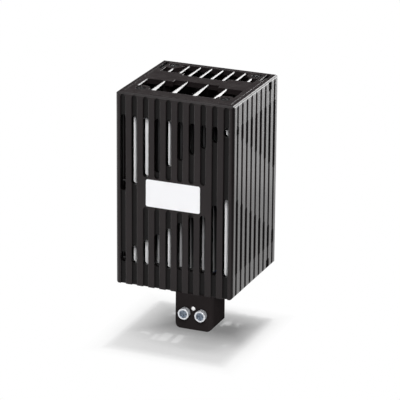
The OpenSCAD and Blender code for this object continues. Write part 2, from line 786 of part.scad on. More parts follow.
// A terminal screw: raised rim, sunk middle with a cross slot, thread to the clamp
module terminal_screw(x) {
  translate([x, -head_out, -pole_depth]) rotate([-90, 0, 0]) difference() {
    union() {
      cylinder(r = head_r, h = head_h);
      translate([0, 0, head_h - over]) cylinder(r = thread_r, h = head_out + screw_tip - head_h + over);
    }
    translate([0, 0, -over]) cylinder(r = head_r - head_rim, h = over + head_recess);
    for (s = [[head_slot_len, head_slot_w], [head_slot_w, head_cross_len]])
      translate([-s[0] / 2, -s[1] / 2, -over]) cube([s[0], s[1], over + head_slot_depth]);
  }
}

module live_terminal_screw() color(bright_steel) at_housing() terminal_screw(pole_x[0]);

module neutral_terminal_screw() color(bright_steel) at_housing() terminal_screw(pole_x[1]);

module indicator_lens() color("white") at_housing()
  translate([block_x, 0, -lens_depth]) rotate([-90, 0, 0]) {
    cylinder(r = lens_r, h = block_front_t);
    translate([0, 0, -lens_out]) cylinder(r1 = lens_r - lens_out, r2 = lens_r, h = lens_out);
  }

// A small glow lamp with one leg to each clamp
module indicator_lamp() color([0.9, 0.55, 0.35]) at_housing()
  translate([block_x, block_front_t, -lens_depth]) {
    span = pole_pitch - clamp_w;
    rotate([-90, 0, 0]) cylinder(r = lamp_r, h = lamp_len);
    translate([-span / 2, lamp_len - lamp_leg_setback, 0]) rotate([0, 90, 0])
      cylinder(r = lamp_leg_r, h = span);
  }

// A strip of sheet metal along a line of Y-Z points, with round bends
module bent_strip(points, t) {
  for (i = [0 : len(points) - 2]) {
    run = points[i + 1] - points[i];
    translate(points[i]) rotate(atan2(run[1], run[0])) translate([0, -t / 2]) square([norm(run), t]);
  }
  for (p = points) translate(p) circle(d = t);
}

// Spring clip: a fixed hook above the rail and a sprung hook with a lead-in below it
module rail_clip() color(bright_steel) {
  plate_y = -clip_t / 2;
  leg_z = rail_w / 2 + rail_gap + clip_t / 2;
  lip_y = hook_y + clip_t / 2;
  difference() {
    wide(-clip_w / 2, clip_w / 2)
      bent_strip([[lip_y, leg_z - hook_reach], [lip_y, leg_z], [plate_y, leg_z], [plate_y, -leg_z],
                  [lip_y, -leg_z], [lip_y, -leg_z + hook_reach / 2],
                  [lip_y + clip_t, -leg_z + hook_reach]], clip_t);
    for (x = [-clip_screw_x, clip_screw_x])
      translate([x, -clip_t - over, clip_screw_z]) rotate([-90, 0, 0])
        cylinder(r = clip_screw_r + screw_play, h = clip_t + 2 * over);
  }
}

module rail_clip_screws() color(bright_steel)
  for (x = [-clip_screw_x, clip_screw_x]) translate([x, 0, clip_screw_z]) rotate([90, 0, 0]) difference() {
    union() {
      translate([0, 0, -clip_head_h]) cylinder(r = clip_head_r, h = clip_head_h);
      cylinder(r = clip_screw_r, h = clip_t + clip_screw_len - screw_end);
    }
    translate([0, 0, -clip_head_h]) mirror([0, 0, 1]) cross_recess();
  }

front_shell();
rear_panel();
top_cover();
bottom_cover();
top_cover_screws();
bottom_cover_screws();
rating_plate();
heat_sink();
ptc_stones();
front_electrode();
rear_electrode();
insulation_film();
pressure_plate();
live_lead();
neutral_lead();
terminal_block();
live_clamp();
neutral_clamp();
live_terminal_screw();
neutral_terminal_screw();
indicator_lens();
indicator_lamp();
rail_clip();
rail_clip_screws();
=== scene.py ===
"""An enclosure heater in a pale studio.

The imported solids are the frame, and each of them shows as it is. This script gives every solid its
finish, softens its edges in the shading, and sets up the floor, the lamps and the camera.
Lengths are in metres, in the frame of the solids: +Z up, the front faces -Y.
"""

from __future__ import annotations

import logging
import math
from dataclasses import dataclass
from enum import Enum
from typing import Any, Callable, Optional, Union

import bpy
from mathutils import Matrix, Vector

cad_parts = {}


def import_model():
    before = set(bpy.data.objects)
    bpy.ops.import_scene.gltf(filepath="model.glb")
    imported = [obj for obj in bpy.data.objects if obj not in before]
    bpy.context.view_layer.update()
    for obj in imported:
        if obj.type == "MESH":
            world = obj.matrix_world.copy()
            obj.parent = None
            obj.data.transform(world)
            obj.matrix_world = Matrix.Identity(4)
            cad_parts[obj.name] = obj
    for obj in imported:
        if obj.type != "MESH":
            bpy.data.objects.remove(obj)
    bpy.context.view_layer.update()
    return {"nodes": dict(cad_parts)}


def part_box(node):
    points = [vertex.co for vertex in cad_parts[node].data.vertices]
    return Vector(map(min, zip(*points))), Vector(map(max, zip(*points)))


LOG = logging.getLogger("heater")

Colour = tuple[float, float, float]
Point = tuple[float, float, float]
Span = tuple[float, float]
Operand = Union[float, bpy.types.NodeSocket]
Tint = Union[Colour, bpy.types.NodeSocket]

BEVEL_SAMPLES = 6
# Part of a tone's range that counts, and how much darker or lighter it makes a colour.
TONES: Span = (0.3, 0.7)
SHADES: Span = (0.86, 1.14)


class Effect(Enum):
    """Surface effects that several finishes share."""

    MOULD_GRAIN = "mould_grain"
    EDGE_WEAR = "edge_wear"
    SETTLED_DUST = "settled_dust"
    DRAWN_LINES = "drawn_lines"
    TURNED_RINGS = "turned_rings"
    RECESS = "recess"


class Along(Enum):
    """Direction in which a metal was drawn or rolled, as the stretch of its lines."""

    UPRIGHT = (1.0, 1.0, 0.012)
    ACROSS = (0.012, 1.0, 1.0)


class Graph:
    """A node tree that is filled by short calls."""

    def __init__(self, tree: bpy.types.NodeTree) -> None:
        """Takes the tree and empties it.

        Args:
            tree: the node tree of a material, a world or a group.
        """
        self.tree = tree
        self.tree.nodes.clear()

    def node(self, kind: str, **settings: Any) -> bpy.types.Node:
        """Adds a node.

        Args:
            kind: Blender's name of the node type.
            settings: attributes of the node.

        Returns:
            The new node.
        """
        made = self.tree.nodes.new(kind)
        for name, value in settings.items():
            setattr(made, name, value)
        return made

    def feed(self, target: bpy.types.NodeSocket, source: Any) -> None:
        """Links a socket to the target, or sets a plain value on it.

        Args:
            target: the input socket.
            source: an output socket or a value.
        """
        if isinstance(source, bpy.types.NodeSocket):
            self.tree.links.new(source, target)
        else:
            target.default_value = source

    @staticmethod
    def fed(target: bpy.types.NodeSocket) -> bpy.types.NodeSocket:
        """The socket that feeds a target so far."""
        return target.links[0].from_socket

    def show(self, surface: bpy.types.NodeSocket,
             kind: str = "ShaderNodeOutputMaterial") -> None:
        """Adds the output node.

        Args:
            surface: the shader to show.
            kind: Blender's name of the output node.
        """
        self.feed(self.node(kind).inputs["Surface"], surface)

    def math(self, operation: str, *operands: Operand,
             clamp: bool = False) -> bpy.types.NodeSocket:
        """Adds a Math node.

        Args:
            operation: the operation's name.
            operands: sockets or numbers, in order.
            clamp: True keeps the result between 0 and 1.

        Returns:
            The result's socket.
        """
        made = self.node("ShaderNodeMath", operation=operation, use_clamp=clamp)
        for target, source in zip(made.inputs, operands):
            self.feed(target, source)
        return made.outputs[0]

    def weigh(self, first: Operand, share: float, second: Operand,
              other_share: float) -> bpy.types.NodeSocket:
        """Adds two values up by their shares.

        Args:
            first: socket or number.
            share: the first one's share.
            second: socket or number.
            other_share: the second one's share.

        Returns:
            The sum's socket.
        """
        return self.math("ADD", self.math("MULTIPLY", first, share),
                         self.math("MULTIPLY", second, other_share))

    def vector(self, operation: str, *operands: Any) -> bpy.types.NodeSocket:
        """Adds a Vector Math node.

        Args:
            operation: the operation's name.
            operands: sockets or vectors, in order.

        Returns:
            The result's socket.
        """
        made = self.node("ShaderNodeVectorMath", operation=operation)
        for target, source in zip(made.inputs, operands):
            self.feed(target, source)
        return made.outputs["Value" if operation in ("DOT_PRODUCT", "LENGTH") else "Vector"]

    def scaled(self, colour: Tint, factor: Operand) -> bpy.types.NodeSocket:
        """Makes a colour darker or lighter.

        Args:
            colour: socket or colour.
            factor: what it is multiplied by.

        Returns:
            The result's socket.
        """
        made = self.node("ShaderNodeVectorMath", operation="SCALE")
        self.feed(made.inputs[0], colour)
        self.feed(made.inputs["Scale"], factor)
        return made.outputs["Vector"]

    def axes(self, place: bpy.types.NodeSocket) -> Any:
        """Splits a vector.

        Args:
            place: the vector.

        Returns:
            Its sockets X, Y and Z, by name.
        """
        made = self.node("ShaderNodeSeparateXYZ")
        self.feed(made.inputs["Vector"], place)
        return made.outputs

    def noise(self, place: bpy.types.NodeSocket, scale: Operand,
              detail: float = 3.0) -> bpy.types.NodeSocket:
        """Adds a noise texture.

        Args:
            place: the coordinates.
            scale: cells for each metre.
            detail: octaves.

        Returns:
            The noise value's socket.
        """
        made = self.node("ShaderNodeTexNoise")
        self.feed(made.inputs["Vector"], place)
        self.feed(made.inputs["Scale"], scale)
        made.inputs["Detail"].default_value = detail
        return made.outputs["Fac"]

    def span(self, value: Operand, low: Operand, high: Operand, to_low: Operand,
             to_high: Operand) -> bpy.types.NodeSocket:
        """Maps a range of values on another one.

        Args:
            value: the socket to map.
            low: start of the range.
            high: end of the range.
            to_low: result at the start.
            to_high: result at the end.

        Returns:
            The result's socket.
        """
        made = self.node("ShaderNodeMapRange")
        for name, source in (("Value", value), ("From Min", low), ("From Max", high),
                             ("To Min", to_low), ("To Max", to_high)):
            self.feed(made.inputs[name], source)
        return made.outputs["Result"]

    def blend(self, factor: Operand, first: Tint, second: Tint) -> bpy.types.NodeSocket:
        """Mixes two colours.

        Args:
            factor: 0 gives the first colour, 1 the second.
            first: socket or colour.
            second: socket or colour.

        Returns:
            The mixed colour's socket.
        """
        made = self.node("ShaderNodeMix", data_type="RGBA")
        sockets = [s for s in made.inputs if s.enabled]
        for target, source in zip(sockets, (factor, first, second)):
            self.feed(target, (*source, 1.0) if isinstance(source, tuple) else source)
        return next(s for s in made.outputs if s.enabled)

    def effect(self, effect: Effect, **inputs: Any) -> Any:
        """Places a shared effect.

        Args:
            effect: which one.
            inputs: its inputs by name, with _ for a space.

        Returns:
            The sockets that it puts out, by name.
        """
        made = self.node("ShaderNodeGroup", node_tree=EffectLibrary.tree(effect))
        for name, source in inputs.items():
            self.feed(made.inputs[name.replace("_", " ").title()], source)
        return made.outputs


class EffectLibrary:
    """Builds each shared effect once, as a node group."""

    # Shares of the broad clouds and of the fine grain in a moulding's tone.
    cloud_share, grain_share = 0.7, 0.3
    # Match of the true and the rounded normal on a flat face and on an edge.
    flat_match, edge_match = 0.995, 0.86
    # Range of the noise that breaks up worn edges, and the wear that is left at its start.
    wear_noise: Span = (0.35, 0.65)
    least_wear = 0.35
    # How far a face looks up where dust starts to settle, and the range of its patches.
    dust_from = 0.55
    dust_noise: Span = (0.42, 0.7)
    # Drawn metal: shares of lines and clouds in its tone, and clouds for each metre.
    line_share, dull_share = 0.6, 0.4
    dull_scale = 90.0
    # Turned metal: shares of patches and rings in its tone, and patches for each metre.
    patch_share, ring_share = 0.7, 0.15
    patch_scale = 700.0

    @classmethod
    def tree(cls, effect: Effect) -> bpy.types.NodeTree:
        """Finds or builds the group of an effect.

        Args:
            effect: which one.

        Returns:
            The group's node tree.
        """
        found = bpy.data.node_groups.get(effect.value)
        if found:
            return found
        makers: dict[Effect, Callable[[bpy.types.NodeTree], None]] = {
            Effect.MOULD_GRAIN: cls._mould_grain,
            Effect.EDGE_WEAR: cls._edge_wear,
            Effect.SETTLED_DUST: cls._settled_dust,
            Effect.DRAWN_LINES: cls._drawn_lines,
            Effect.TURNED_RINGS: cls._turned_rings,
            Effect.RECESS: cls._recess,
        }
        tree = bpy.data.node_groups.new(effect.value, "ShaderNodeTree")
        makers[effect](tree)
        return tree

    @staticmethod
    def _open(tree: bpy.types.NodeTree, inputs: dict[str, Any],
              outputs: tuple[str, ...]) -> tuple[Graph, Any, Any]:
        """Gives a group its sockets.

        Args:
            tree: the new group.
            inputs: default value by name; None makes a vector input without a default.
            outputs: names of the value outputs.

        Returns:
            The graph, the input node's outputs and the output node's inputs.
        """
        graph = Graph(tree)
        for name, value in inputs.items():
            kind = "NodeSocketFloat" if isinstance(value, float) else "NodeSocketVector"
            socket = tree.interface.new_socket(name, in_out="INPUT", socket_type=kind)
            if value is not None:
                socket.default_value = value
        for name in outputs:
            tree.interface.new_socket(name, in_out="OUTPUT", socket_type="NodeSocketFloat")
        given = graph.node("NodeGroupInput").outputs
        return graph, given, graph.node("NodeGroupOutput").inputs

    @classmethod
    def _mould_grain(cls, tree: bpy.types.NodeTree) -> None:
        """Fine spark-eroded grain over broad flow clouds.

        Args:
            tree: the new group.
        """
        graph, given, result = cls._open(
            tree, {"Place": None, "Fine": 2500.0, "Broad": 60.0}, ("Height", "Tone"))
        fine = graph.noise(given["Place"], given["Fine"])
        broad = graph.noise(given["Place"], given["Broad"], detail=4.0)
        graph.feed(result["Height"], fine)
        graph.feed(result["Tone"], graph.weigh(broad, cls.cloud_share, fine, cls.grain_share))

    @classmethod
    def _edge_wear(cls, tree: bpy.types.NodeTree) -> None:
        """Mask of the outer edges, broken up by noise.

        Args:
            tree: the new group.
        """
        graph, given, result = cls._open(
            tree, {"Place": None, "Radius": 0.0003, "Breakup": 400.0}, ("Mask",))
        rounded = graph.node("ShaderNodeBevel", samples=BEVEL_SAMPLES)
        graph.feed(rounded.inputs["Radius"], given["Radius"])
        true = graph.node("ShaderNodeNewGeometry").outputs["Normal"]
        match = graph.vector("DOT_PRODUCT", rounded.outputs["Normal"], true)
        edge = graph.span(match, cls.flat_match, cls.edge_match, 0.0, 1.0)
        breakup = graph.noise(given["Place"], given["Breakup"])
        worn = graph.span(breakup, *cls.wear_noise, cls.least_wear, 1.0)
        graph.feed(result["Mask"], graph.math("MULTIPLY", edge, worn, clamp=True))

    @classmethod
    def _settled_dust(cls, tree: bpy.types.NodeTree) -> None:
        """Mask of thin dust on faces that look up.

        Args:
            tree: the new group.
        """
        graph, given, result = cls._open(
            tree, {"Place": None, "Amount": 0.3, "Scale": 180.0}, ("Mask",))
        normal = graph.node("ShaderNodeNewGeometry").outputs["Normal"]
        upward = graph.vector("DOT_PRODUCT", normal, (0.0, 0.0, 1.0))
        facing = graph.span(upward, cls.dust_from, 1.0, 0.0, 1.0)
        cells = graph.noise(given["Place"], given["Scale"], detail=6.0)
        patches = graph.span(cells, *cls.dust_noise, 0.0, 1.0)
        amount = graph.math("MULTIPLY", facing, given["Amount"])
        graph.feed(result["Mask"], graph.math("MULTIPLY", amount, patches, clamp=True))

    @classmethod
    def _drawn_lines(cls, tree: bpy.types.NodeTree) -> None:
        """Lines of a drawn, extruded or rolled metal.

        Args:
            tree: the new group.
        """
        graph, given, result = cls._open(
            tree, {"Place": None, "Stretch": (1.0, 1.0, 0.01), "Lines": 3000.0},
            ("Height", "Tone"))
        drawn = graph.vector("MULTIPLY", given["Place"], given["Stretch"])
        lines = graph.noise(drawn, given["Lines"], detail=5.0)
        clouds = graph.noise(given["Place"], cls.dull_scale, detail=4.0)
        graph.feed(result["Height"], lines)
        graph.feed(result["Tone"], graph.weigh(lines, cls.line_share, clouds, cls.dull_share))

    @classmethod
    def _turned_rings(cls, tree: bpy.types.NodeTree) -> None:
        """Rings left by a turning tool round the Y axis through the given centre.

        Args:
            tree: the new group.
        """
        graph, given, result = cls._open(
            tree, {"Place": None, "Centre": (0.0, 0.0, 0.0), "Rings": 6000.0},
            ("Height", "Tone", "Radius"))
        out = graph.vector("SUBTRACT", given["Place"], given["Centre"])
        radius = graph.vector("LENGTH", graph.vector("MULTIPLY", out, (1.0, 0.0, 1.0)))
        graph.feed(result["Radius"], radius)
        wave = graph.math("SINE", graph.math("MULTIPLY", radius, given["Rings"]))
        graph.feed(result["Height"], graph.span(wave, -1.0, 1.0, 0.0, 1.0))
        patches = graph.noise(given["Place"], cls.patch_scale, detail=4.0)
        graph.feed(result["Tone"], graph.weigh(patches, cls.patch_share, wave, cls.ring_share))

    @classmethod
    def _recess(cls, tree: bpy.types.NodeTree) -> None:
        """Mask of what lies deeper than the faces of a box, such as the floors of grooves.

        Args:
            tree: the new group.
        """
        graph, given, result = cls._open(
            tree, {"Place": None, "Low": (0.0, 0.0, 0.0), "High": (0.0, 0.0, 0.0),
                   "Start": 0.0005, "End": 0.001}, ("Mask",))
        above = graph.vector("SUBTRACT", given["Place"], given["Low"])
        below = graph.vector("SUBTRACT", given["High"], given["Place"])
        axes = graph.axes(graph.vector("MINIMUM", above, below))
        depth = graph.math("MINIMUM", graph.math("MINIMUM", axes["X"], axes["Y"]), axes["Z"])
        graph.feed(result["Mask"], graph.span(depth, given["Start"], given["End"], 0.0, 1.0))


def open_material(name: str) -> tuple[bpy.types.Material, Graph]:
    """Makes a material with an empty graph.

    Args:
        name: the material's name.

    Returns:
        The material and its graph.
    """
    made = bpy.data.materials.new(name)
    made.use_nodes = True
    return made, Graph(made.node_tree)


@dataclass(frozen=True)
class Finish:
    """A surface finish: the values that all finishes have, and the frame of a material."""

    name: str
    slot: str
    colour: Colour
    worn_colour: Colour
    roughness: Span
    metallic: float = 0.0
    specular: float = 0.5
    bump: float = 0.02
    bump_depth: float = 0.00004
    wear: float = 0.25
    edge: float = 0.00035

    def material(self) -> bpy.types.Material:
        """Finds or builds the material.

        Returns:
            The material of this finish.
        """
        found = bpy.data.materials.get(self.name)
        if found:
            return found
        made, graph = open_material(self.name)
        made.diffuse_color = (*self.colour, 1.0)
        shader = graph.node("ShaderNodeBsdfPrincipled")
        shader.inputs["Metallic"].default_value = self.metallic
        shader.inputs["Specular IOR Level"].default_value = self.specular
        self.dress(graph, shader, graph.node("ShaderNodeTexCoord").outputs["Object"])
        graph.show(shader.outputs["BSDF"])
        return made

    def dress(self, graph: Graph, shader: bpy.types.Node, place: bpy.types.NodeSocket) -> None:
        """Feeds the shader. Each kind of finish has its own way.

        Args:
            graph: the material's graph.
            shader: its Principled node.
            place: object coordinates in metres.
        """
        raise NotImplementedError

    def surface(self, graph: Graph, shader: bpy.types.Node, place: bpy.types.NodeSocket,
                height: bpy.types.NodeSocket,
                tone: bpy.types.NodeSocket) -> bpy.types.NodeSocket:
        """Feeds roughness and bump, and works out the colour with its worn edges.

        Args:
            graph: the material's graph.
            shader: its Principled node.
            place: object coordinates in metres.
            height: relief between 0 and 1.
            tone: cloudiness between 0 and 1.

        Returns:
            The colour's socket, for the finish to feed on.
        """
        bump = graph.node("ShaderNodeBump")
        bump.inputs["Strength"].default_value = self.bump
        bump.inputs["Distance"].default_value = self.bump_depth
        graph.feed(bump.inputs["Height"], height)
        rounded = graph.node("ShaderNodeBevel", samples=BEVEL_SAMPLES)
        rounded.inputs["Radius"].default_value = self.edge
        graph.feed(bump.inputs["Normal"], rounded.outputs["Normal"])
        graph.feed(shader.inputs["Normal"], bump.outputs["Normal"])
        graph.feed(shader.inputs["Roughness"], graph.span(tone, *TONES, *self.roughness))
        tinted = graph.scaled(self.colour, graph.span(tone, *TONES, *SHADES))
        edges = graph.effect(Effect.EDGE_WEAR, place=place, radius=self.edge)
        return graph.blend(graph.math("MULTIPLY", edges["Mask"], self.wear), tinted,
                           self.worn_colour)


@dataclass(frozen=True)
class MouldedPlastic(Finish):
    """Moulded plastic, film, sleeve or fired ceramic: grain, flow clouds and a little dust."""

    fine: float = 2600.0
    broad: float = 55.0
    dust: float = 0.0
    dust_colour: Colour = (0.22, 0.21, 0.2)
    coat: float = 0.0

    def dress(self, graph: Graph, shader: bpy.types.Node, place: bpy.types.NodeSocket) -> None:
        """Feeds grain and dust.

        Args:
            graph: the material's graph.
            shader: its Principled node.
            place: object coordinates in metres.
        """
        grain = graph.effect(Effect.MOULD_GRAIN, place=place, fine=self.fine, broad=self.broad)
        colour = self.surface(graph, shader, place, grain["Height"], grain["Tone"])
        if self.dust:
            settled = graph.effect(Effect.SETTLED_DUST, place=place, amount=self.dust)
            colour = graph.blend(settled["Mask"], colour, self.dust_colour)
        graph.feed(shader.inputs["Base Color"], colour)
        shader.inputs["Coat Weight"].default_value = self.coat


@dataclass(frozen=True)
class RibbedPlastic(MouldedPlastic):
    """Moulded plastic of ribbed walls, darkened below the faces of the ribs as painted shade, and
    rough in the grooves.

    Depths are counted from the faces of the box between low and high: groove is the step from the
    ribs to the floors of the grooves, cut the step from there into the slots.
    """

    low: Point = (0.0, 0.0, 0.0)
    high: Point = (0.0, 0.0, 0.0)
    groove: Span = (0.0001, 0.0006)
    cut: Span = (0.001, 0.0013)
    # Share of the colour kept below the ribs: painted shade in the grooves and slots.
    painted_shade_share: float = 0.2
    sunk_roughness: float = 0.6

    def dress(self, graph: Graph, shader: bpy.types.Node, place: bpy.types.NodeSocket) -> None:
        """Feeds the plastic, paints shade on it below the ribs and roughens it in the grooves.

        Args:
            graph: the material's graph.
            shader: its Principled node.
            place: object coordinates in metres.
        """
        super().dress(graph, shader, place)
        sunk, deep = (graph.effect(Effect.RECESS, place=place, low=self.low, high=self.high,
                                   start=start, end=end)["Mask"]
                      for start, end in (self.groove, self.cut))
        base, polish = shader.inputs["Base Color"], shader.inputs["Roughness"]
        # Painted shade: below the faces of the ribs the colour is darkened to this share.
        share = graph.span(sunk, 0.0, 1.0, 1.0, self.painted_shade_share)
        graph.feed(base, graph.scaled(graph.fed(base), share))
        rough = graph.span(deep, 0.0, 1.0, self.sunk_roughness, self.roughness[0])
        graph.feed(polish, graph.span(sunk, 0.0, 1.0, graph.fed(polish), rough))


@dataclass(frozen=True)
class FramedPlate(MouldedPlastic):
    """White plate with a thin dark frame line along its edge."""

    fine: float = 5000.0
    broad: float = 120.0
    centre: Point = (0.0, 0.0, 0.0)
    half: Span = (0.016, 0.008)
    inset: float = 0.00045
    line: float = 0.00012
    frame_colour: Colour = (0.12, 0.12, 0.13)

    def dress(self, graph: Graph, shader: bpy.types.Node, place: bpy.types.NodeSocket) -> None:
        """Feeds the plate's film and its frame line.

        Args:
            graph: the material's graph.
            shader: its Principled node.
            place: object coordinates in metres.
        """
        super().dress(graph, shader, place)
        out = graph.vector("ABSOLUTE", graph.vector("SUBTRACT", place, self.centre))
        axes = graph.axes(out)
        across = graph.math("SUBTRACT", axes["X"], self.half[0] - self.inset)
        upward = graph.math("SUBTRACT", axes["Z"], self.half[1] - self.inset)
        off_line = graph.math("ABSOLUTE", graph.math("MAXIMUM", across, upward))
        mark = graph.math("LESS_THAN", off_line, self.line / 2)
        base = shader.inputs["Base Color"]
        graph.feed(base, graph.blend(mark, graph.fed(base), self.frame_colour))


@dataclass(frozen=True)
class DrawnMetal(Finish):
    """Extruded, drawn or rolled metal with lines along one direction."""

    along: Along = Along.UPRIGHT
    lines: float = 2800.0

    def dress(self, graph: Graph, shader: bpy.types.Node, place: bpy.types.NodeSocket) -> None:
        """Feeds the lines.

        Args:
            graph: the material's graph.
            shader: its Principled node.
            place: object coordinates in metres.
        """
        lines = graph.effect(Effect.DRAWN_LINES, place=place, stretch=self.along.value,
                             lines=self.lines)
        colour = self.surface(graph, shader, place, lines["Height"], lines["Tone"])
        graph.feed(shader.inputs["Base Color"], colour)


@dataclass(frozen=True)
class FinnedMetal(DrawnMetal):
    """Extruded fins, bare at the tips and darker deeper in, and darker still toward the top by
    painted shade, where less light comes up from below.

    The tips lie at ends, along Y. The painted shade grows upward between the levels, along Z.
    """

    ends: Span = (0.0, 1.0)
    levels: Span = (0.0, 1.0)
    # Painted shade: factors on the depth from the bottom level to the top one, darker upward.
    heat: Span = (0.85, 1.6)
    bare: float = 0.0012
    darkest_from: float = 0.0052
    deep_colour: Colour = (0.014, 0.0138, 0.0142)

    def dress(self, graph: Graph, shader: bpy.types.Node, place: bpy.types.NodeSocket) -> None:
        """Feeds the lines and the darker colour between the fins, with its painted shade toward the
        top.

        Args:
            graph: the material's graph.
            shader: its Principled node.
            place: object coordinates in metres.
        """
        super().dress(graph, shader, place)
        axes = graph.axes(place)
        behind = graph.math("SUBTRACT", axes["Y"], self.ends[0])
        before = graph.math("SUBTRACT", self.ends[1], axes["Y"])
        depth = graph.math("MINIMUM", behind, before)
        # Painted shade: the darkening grows toward the top, where less light comes up from below.
        painted_rise = graph.span(axes["Z"], *self.levels, *self.heat)
        deep = graph.span(graph.math("MULTIPLY", depth, painted_rise), self.bare, self.darkest_from,
                          0.0, 1.0)
        base = shader.inputs["Base Color"]
        graph.feed(base, graph.blend(deep, graph.fed(base), self.deep_colour))


@dataclass(frozen=True)
class TurnedMetal(Finish):
    """Plated screw with rings from the lathe and a darker, bluish sunk middle."""

    centre: Point = (0.0, 0.0, 0.0)
    rings: float = 9000.0
    sunk: float = 0.0023
    sunk_colour: Colour = (0.2, 0.24, 0.3)

    def dress(self, graph: Graph, shader: bpy.types.Node, place: bpy.types.NodeSocket) -> None:
        """Feeds the rings and the sunk middle.

        Args:
            graph: the material's graph.
            shader: its Principled node.
            place: object coordinates in metres.
        """
        rings = graph.effect(Effect.TURNED_RINGS, place=place, centre=self.centre,
                             rings=self.rings)
        colour = self.surface(graph, shader, place, rings["Height"], rings["Tone"])
        sunk_middle = graph.math("LESS_THAN", rings["Radius"], self.sunk)
        graph.feed(shader.inputs["Base Color"], graph.blend(sunk_middle, colour, self.sunk_colour))


class Palette:
    """The finishes of the heater."""

    housing: dict[str, Any] = {
        "slot": "housing_plastic", "colour": (0.0155, 0.0121, 0.0125),
        "worn_colour": (0.029, 0.025, 0.026), "roughness": (0.17, 0.27), "specular": 0.21,
        "bump": 0.2, "bump_depth": 0.00003, "dust": 0.04}
    rib_edge = 0.00012
    covers = MouldedPlastic("black_moulded_covers", **housing)
    block = MouldedPlastic(
        "black_moulded_block", "block_plastic", (0.0195, 0.0165, 0.0167), (0.033, 0.03, 0.031),
        (0.5, 0.66), specular=0.0, bump=0.3, bump_depth=0.00003)
    cover_screw = DrawnMetal(
        "blackened_screw", "black_screw", (0.05, 0.05, 0.052), (0.5, 0.5, 0.51), (0.28, 0.42),
        metallic=1.0, wear=0.8, along=Along.ACROSS)
    aluminium = DrawnMetal(
        "drawn_aluminium", "sink_aluminium", (0.6, 0.6, 0.61), (0.7, 0.7, 0.71), (0.42, 0.58),
        metallic=0.35, bump=0.3)
    ceramic = MouldedPlastic(
        "fired_ceramic", "heating_ceramic", (0.3, 0.29, 0.28), (0.36, 0.35, 0.34), (0.7, 0.85),
        bump=0.5)
    brass = DrawnMetal(
        "bare_brass", "contact_brass", (0.74, 0.57, 0.25), (0.86, 0.72, 0.4), (0.24, 0.38),
        metallic=1.0)
    film = MouldedPlastic(
        "amber_film", "amber_film", (0.2, 0.08, 0.015), (0.26, 0.12, 0.03), (0.2, 0.34))
    brown_sleeve = MouldedPlastic(
        "brown_sleeve", "brown_sleeve", (0.035, 0.016, 0.009), (0.05, 0.025, 0.015), (0.38, 0.52))
    blue_sleeve = MouldedPlastic(
        "blue_sleeve", "blue_sleeve", (0.009, 0.018, 0.055), (0.015, 0.03, 0.08), (0.38, 0.52))
    lens = MouldedPlastic(
        "white_lens", "white_lens", (0.9, 0.9, 0.9), (0.92, 0.92, 0.92), (0.1, 0.18), coat=0.6)
    lamp = MouldedPlastic(
        "lamp_glass", "lamp_glass", (0.7, 0.3, 0.14), (0.8, 0.4, 0.2), (0.06, 0.12), coat=1.0)
    spring_steel = DrawnMetal(
        "spring_steel", "spring_steel", (0.58, 0.585, 0.6), (0.8, 0.8, 0.82), (0.24, 0.4),
        metallic=1.0, wear=0.5, along=Along.ACROSS)

    @classmethod
    def walls(cls, low: Vector, high: Vector) -> RibbedPlastic:
        """Plastic of the ribbed walls.

        Args:
            low: lowest corner of the walls.
            high: their highest corner.

        Returns:
            The finish, with its ribs on the faces between these corners.
        """
        return RibbedPlastic("black_ribbed_walls", **cls.housing, edge=cls.rib_edge,
                             low=tuple(low), high=tuple(high))

    @staticmethod
    def plate(low: Vector, high: Vector) -> FramedPlate:
        """White film of the bare plate.

        Args:
            low: lowest corner of the plate.
            high: its highest corner.

        Returns:
            The finish, with its frame line along the plate's edge.
        """
        half = (high - low) / 2
        return FramedPlate(
            "white_plate", "white_plate", (0.9, 0.905, 0.92), (0.8, 0.8, 0.82), (0.34, 0.46),
            bump=0.1, wear=0.0, centre=tuple((low + high) / 2), half=(half.x, half.z))

    @staticmethod
    def fins(low: Vector, high: Vector) -> FinnedMetal:
        """Aluminium of the heat sink.

        Args:
            low: lowest corner of the heat sink.
            high: its highest corner.

        Returns:
            The finish, with bare tips at the front and at the rear.
        """
        return FinnedMetal(
            "extruded_aluminium", "sink_aluminium", (0.88, 0.88, 0.89), (0.93, 0.93, 0.94),
            (0.42, 0.58), metallic=0.12, bump=0.3, ends=(low.y, high.y), levels=(low.z, high.z))

    @staticmethod
    def plated(name: str, low: Vector, high: Vector) -> TurnedMetal:
        """Plated steel of a screw.

        Args:
            name: the material's name.
            low: lowest corner of the screw.
            high: its highest corner.

        Returns:
            The finish, with its rings round the axis through the screw's middle.
        """
        return TurnedMetal(
            name, "plated_screw", (0.76, 0.78, 0.82), (0.95, 0.96, 0.98), (0.16, 0.32),
            metallic=0.5, wear=0.6, bump=0.25, centre=tuple((low + high) / 2))


@dataclass
class SubAssembly:
    """A group of nodes that are dressed together."""

    title: str
    nodes: dict[str, bpy.types.Object]

    def finishes(self) -> dict[str, Finish]:
        """The finish of each node of the group, by the node's name."""
        raise NotImplementedError

    def dress(self) -> None:
        """Gives each node its material."""
        for name, finish in self.finishes().items():
            piece = self.nodes[name]
            piece.data.materials.clear()
            piece.data.materials.append(finish.material())
            LOG.info("%s: %s in %s", self.title, name, finish.name)


@dataclass
class Housing(SubAssembly):
    """Ribbed walls, the two covers and their screws."""

    def finishes(self) -> dict[str, Finish]:
        """Picks the finishes of the housing.

        Returns:
            The finish of each of its nodes, by name.
        """
        walls = Palette.walls(*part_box("front_shell"))
        return {
            "front_shell": walls,
            "rear_panel": walls,
            "top_cover": Palette.covers,
            "bottom_cover": Palette.covers,
            "top_cover_screws": Palette.cover_screw,
            "bottom_cover_screws": Palette.cover_screw,
        }


@dataclass
class RatingPlate(SubAssembly):
    """The bare white plate on the front."""

    def finishes(self) -> dict[str, Finish]:
        """The plate's finish, fitted to its size."""
        return {"rating_plate": Palette.plate(*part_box("rating_plate"))}


